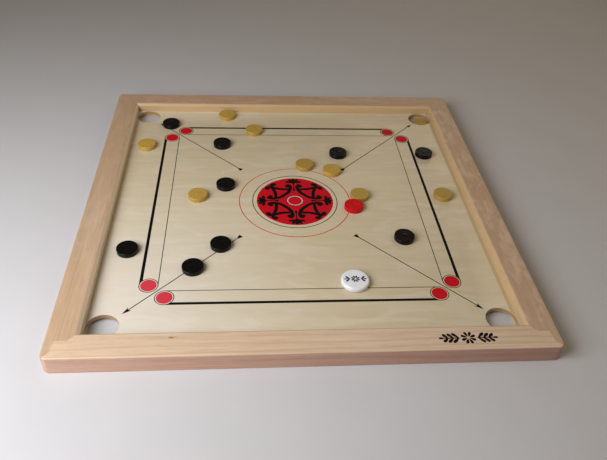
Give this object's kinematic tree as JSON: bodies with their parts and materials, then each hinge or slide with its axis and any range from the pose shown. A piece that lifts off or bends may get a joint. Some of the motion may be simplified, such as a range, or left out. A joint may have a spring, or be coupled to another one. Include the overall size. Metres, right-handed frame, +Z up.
{
  "type": "carrom board",
  "caption": "Square carrom board with raised lock-mitred wooden frame, corner pockets through a plywood playing surface, black and natural men, a red queen and a white striker.",
  "frame": {"origin": "centre of the square board, at the level of the table it lies on", "axes": "+Z up out of the playing surface, -Y towards the player with the striker, +X to that player's right"},
  "size_m": [0.65, 0.65, 0.027],
  "materials": {
    "frame_wood": "satin, sanded and clear lacquered hardwood",
    "plywood": "smooth lacquered birch plywood",
    "black_men": "black stained and polished",
    "natural_men": "clear polished",
    "queen_red": "red stained and polished",
    "striker_white": "glossy",
    "print_black": "screen-printed ink",
    "print_red": "screen-printed ink",
    "print_white": "screen-printed ink"
  },
  "bodies": {
    "board": {"front_rail": "frame_wood", "back_rail": "frame_wood", "left_rail": "frame_wood", "right_rail": "frame_wood", "playing_board": "plywood"},
    "black_man_1": {"black_man_1": "black_men"},
    "black_man_2": {"black_man_2": "black_men"},
    "black_man_3": {"black_man_3": "black_men"},
    "black_man_4": {"black_man_4": "black_men"},
    "black_man_5": {"black_man_5": "black_men"},
    "black_man_6": {"black_man_6": "black_men"},
    "black_man_7": {"black_man_7": "black_men"},
    "black_man_8": {"black_man_8": "black_men"},
    "black_man_9": {"black_man_9": "black_men"},
    "natural_man_1": {"natural_man_1": "natural_men"},
    "natural_man_2": {"natural_man_2": "natural_men"},
    "natural_man_3": {"natural_man_3": "natural_men"},
    "natural_man_4": {"natural_man_4": "natural_men"},
    "natural_man_5": {"natural_man_5": "natural_men"},
    "natural_man_6": {"natural_man_6": "natural_men"},
    "natural_man_7": {"natural_man_7": "natural_men"},
    "natural_man_8": {"natural_man_8": "natural_men"},
    "natural_man_9": {"natural_man_9": "natural_men"},
    "queen": {"queen": "queen_red"},
    "striker": {"striker": "striker_white"}
  },
  "joints": [
    {"name": "black_man_1_slide", "type": "slide", "parent": "board", "child": "black_man_1", "axis": [0, 1, 0], "range_m": [-0.1, 0.03]},
    {"name": "black_man_2_slide", "type": "slide", "parent": "board", "child": "black_man_2", "axis": [0.7071, 0.7071, 0], "range_m": [-0.1, 0.04]},
    {"name": "black_man_3_slide", "type": "slide", "parent": "board", "child": "black_man_3", "axis": [-0.7071, 0.7071, 0], "range_m": [-0.075, 0.075]},
    {"name": "black_man_4_slide", "type": "slide", "parent": "board", "child": "black_man_4", "axis": [-0.7071, 0.7071, 0], "range_m": [-0.03, 0.1]},
    {"name": "black_man_5_slide", "type": "slide", "parent": "board", "child": "black_man_5", "axis": [-0.7071, 0.7071, 0], "range_m": [-0.09, 0.06]},
    {"name": "black_man_6_slide", "type": "slide", "parent": "board", "child": "black_man_6", "axis": [1, 0, 0], "range_m": [-0.075, 0.075]},
    {"name": "black_man_7_slide", "type": "slide", "parent": "board", "child": "black_man_7", "axis": [1, 0, 0], "range_m": [-0.075, 0.075]},
    {"name": "black_man_8_slide", "type": "slide", "parent": "board", "child": "black_man_8", "axis": [0.7071, 0.7071, 0], "range_m": [-0.1, 0.02]},
    {"name": "black_man_9_slide", "type": "slide", "parent": "board", "child": "black_man_9", "axis": [0, 1, 0], "range_m": [-0.075, 0.075]},
    {"name": "natural_man_1_slide", "type": "slide", "parent": "board", "child": "natural_man_1", "axis": [0.7071, 0.7071, 0], "range_m": [-0.1, 0]},
    {"name": "natural_man_2_slide", "type": "slide", "parent": "board", "child": "natural_man_2", "axis": [-0.7071, 0.7071, 0], "range_m": [-0.1, 0.04]},
    {"name": "natural_man_3_slide", "type": "slide", "parent": "board", "child": "natural_man_3", "axis": [0, 1, 0], "range_m": [-0.08, 0.07]},
    {"name": "natural_man_4_slide", "type": "slide", "parent": "board", "child": "natural_man_4", "axis": [0.7071, 0.7071, 0], "range_m": [-0.1, 0.035]},
    {"name": "natural_man_5_slide", "type": "slide", "parent": "board", "child": "natural_man_5", "axis": [0.7071, 0.7071, 0], "range_m": [-0.1, 0.015]},
    {"name": "natural_man_6_slide", "type": "slide", "parent": "board", "child": "natural_man_6", "axis": [-0.7071, 0.7071, 0], "range_m": [-0.075, 0.075]},
    {"name": "natural_man_7_slide", "type": "slide", "parent": "board", "child": "natural_man_7", "axis": [1, 0, 0], "range_m": [0, 0.1]},
    {"name": "natural_man_8_slide", "type": "slide", "parent": "board", "child": "natural_man_8", "axis": [0, 1, 0], "range_m": [-0.075, 0.075]},
    {"name": "natural_man_9_lift", "type": "slide", "parent": "board", "child": "natural_man_9", "axis": [0, 0, 1], "range_m": [0, 0.06]},
    {"name": "queen_slide", "type": "slide", "parent": "board", "child": "queen", "axis": [0.7071, 0.7071, 0], "range_m": [-0.1, 0]},
    {"name": "striker_slide", "type": "slide", "parent": "board", "child": "striker", "axis": [1, 0, 0], "range_m": [-0.2, 0.16]}
  ]
}
